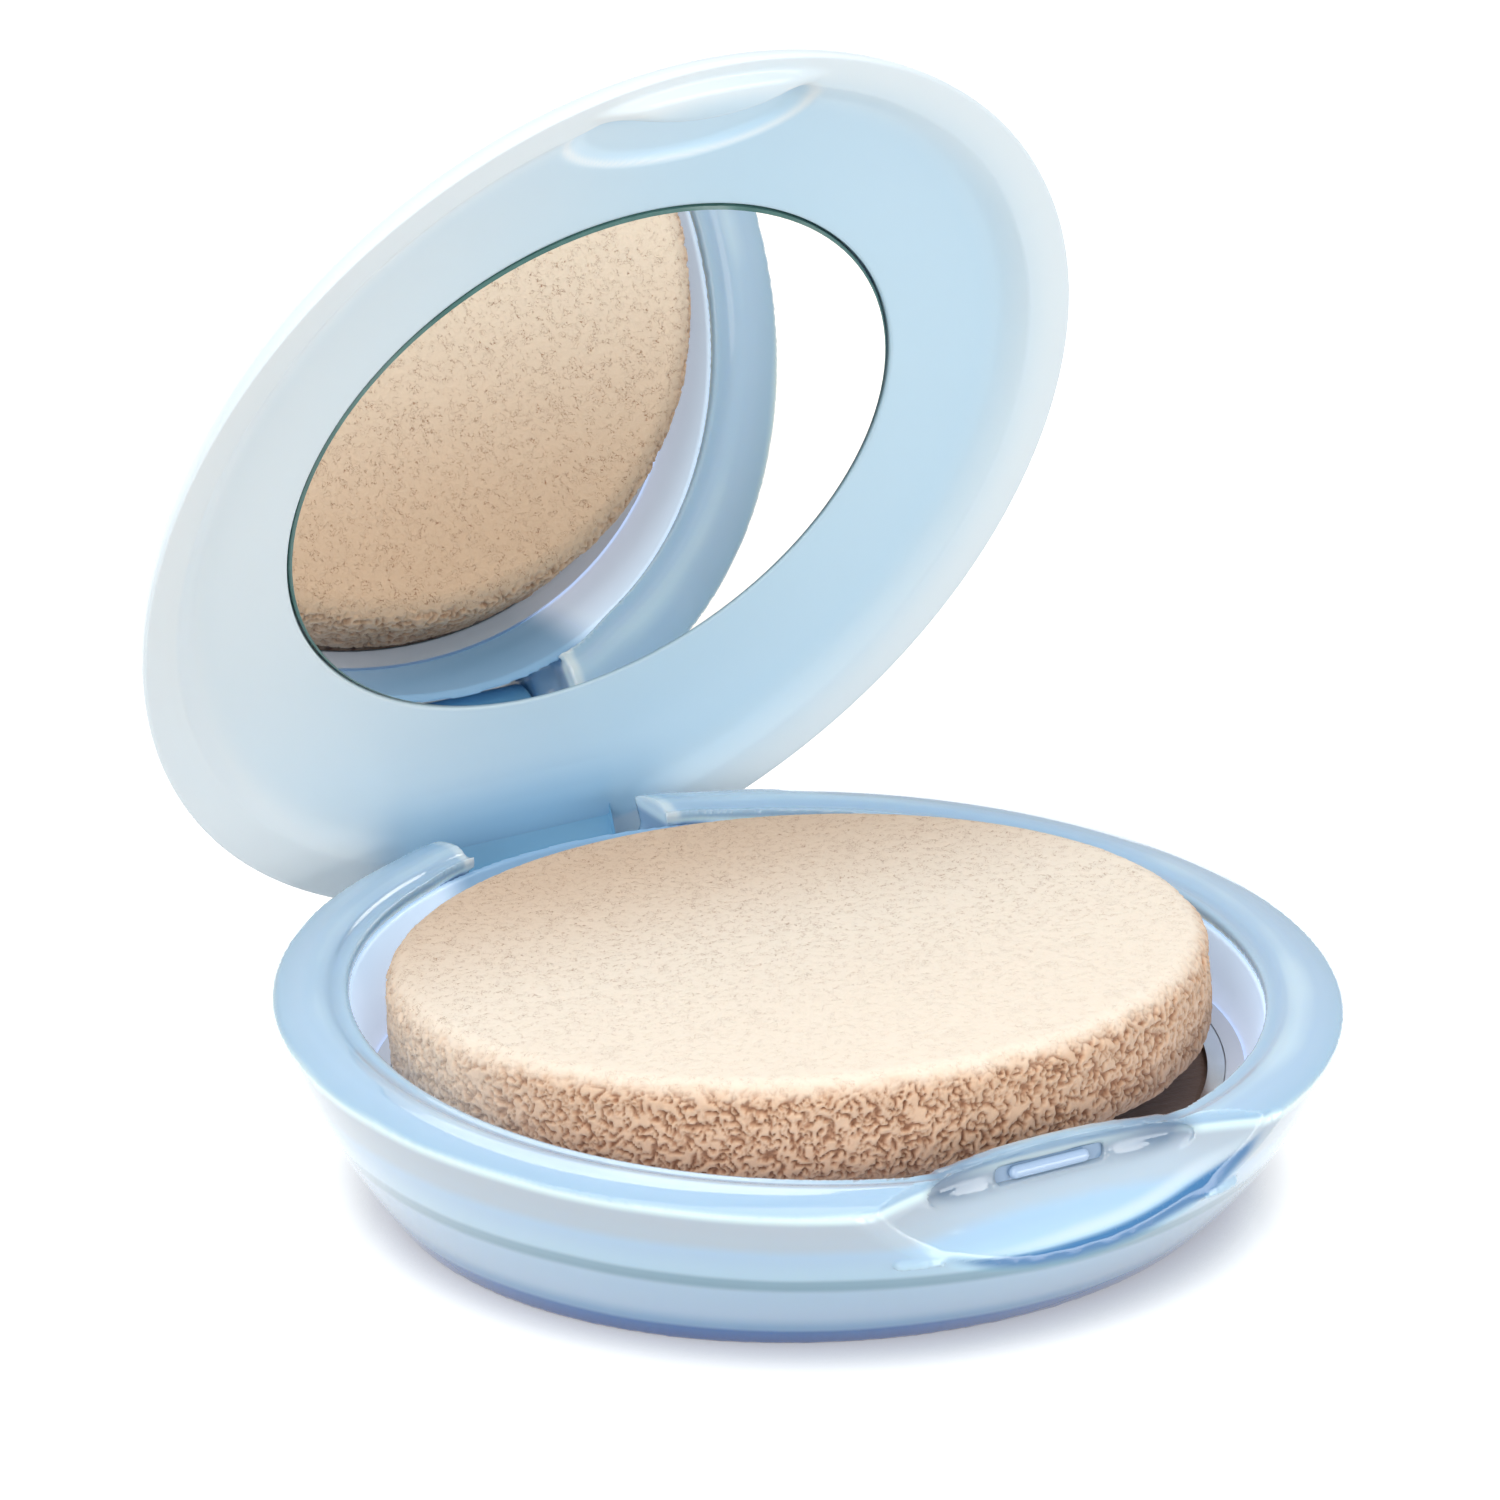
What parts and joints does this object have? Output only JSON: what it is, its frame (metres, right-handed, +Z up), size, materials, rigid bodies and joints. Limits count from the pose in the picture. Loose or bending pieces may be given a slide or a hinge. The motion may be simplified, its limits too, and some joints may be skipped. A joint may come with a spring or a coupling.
{
  "type": "powder compact",
  "caption": "Oval pressed-powder compact with a hinged mirror lid, a round metal pan in a refill tray, a thumb scoop with a catch, and a porous application sponge.",
  "frame": {"origin": "centre of the round foot, on the surface the compact stands on", "axes": "+Z up; +Y towards the hinge, with the thumb scoop at -Y; +X to the right as seen from the scoop"},
  "size_m": [0.076, 0.0857, 0.0826],
  "materials": {
    "ice_blue_shell": "pearly, translucent, polished",
    "silver_liner": "silver-white, satin",
    "catch": "glossy",
    "tray": "satin",
    "pan_metal": "pressed, bright rim",
    "powder": "matte pressed powder, finely brushed",
    "pin_steel": "ground",
    "lid_blue": "pearly, polished",
    "lid_frame_blue": "pearly, satin",
    "pad": "foam adhesive",
    "mirror": "silvered glass with ground edge",
    "sponge_foam": "matte porous foam"
  },
  "bodies": {
    "base": {"base_shell": "ice_blue_shell", "base_liner": "silver_liner", "catch_clip": "catch", "refill_tray": "tray", "powder_pan": "pan_metal", "powder_cake": "powder", "hinge_pin_left": "pin_steel", "hinge_pin_right": "pin_steel"},
    "lid": {"lid_shell": "lid_blue", "lid_frame": "lid_frame_blue", "mirror_pad": "pad", "mirror_glass": "mirror"},
    "sponge": {"sponge": "sponge_foam"}
  },
  "joints": [
    {"name": "lid_hinge", "type": "hinge", "parent": "base", "child": "lid", "pos_m": [0, 0.03762, 0.00779], "axis": [-1, 0, 0], "range_deg": [-64, 46], "deforming": ["sponge"]},
    {"name": "sponge_lift", "type": "slide", "parent": "base", "child": "sponge", "axis": [0, -0.45, 0.893], "range_m": [0, 0.04]}
  ]
}
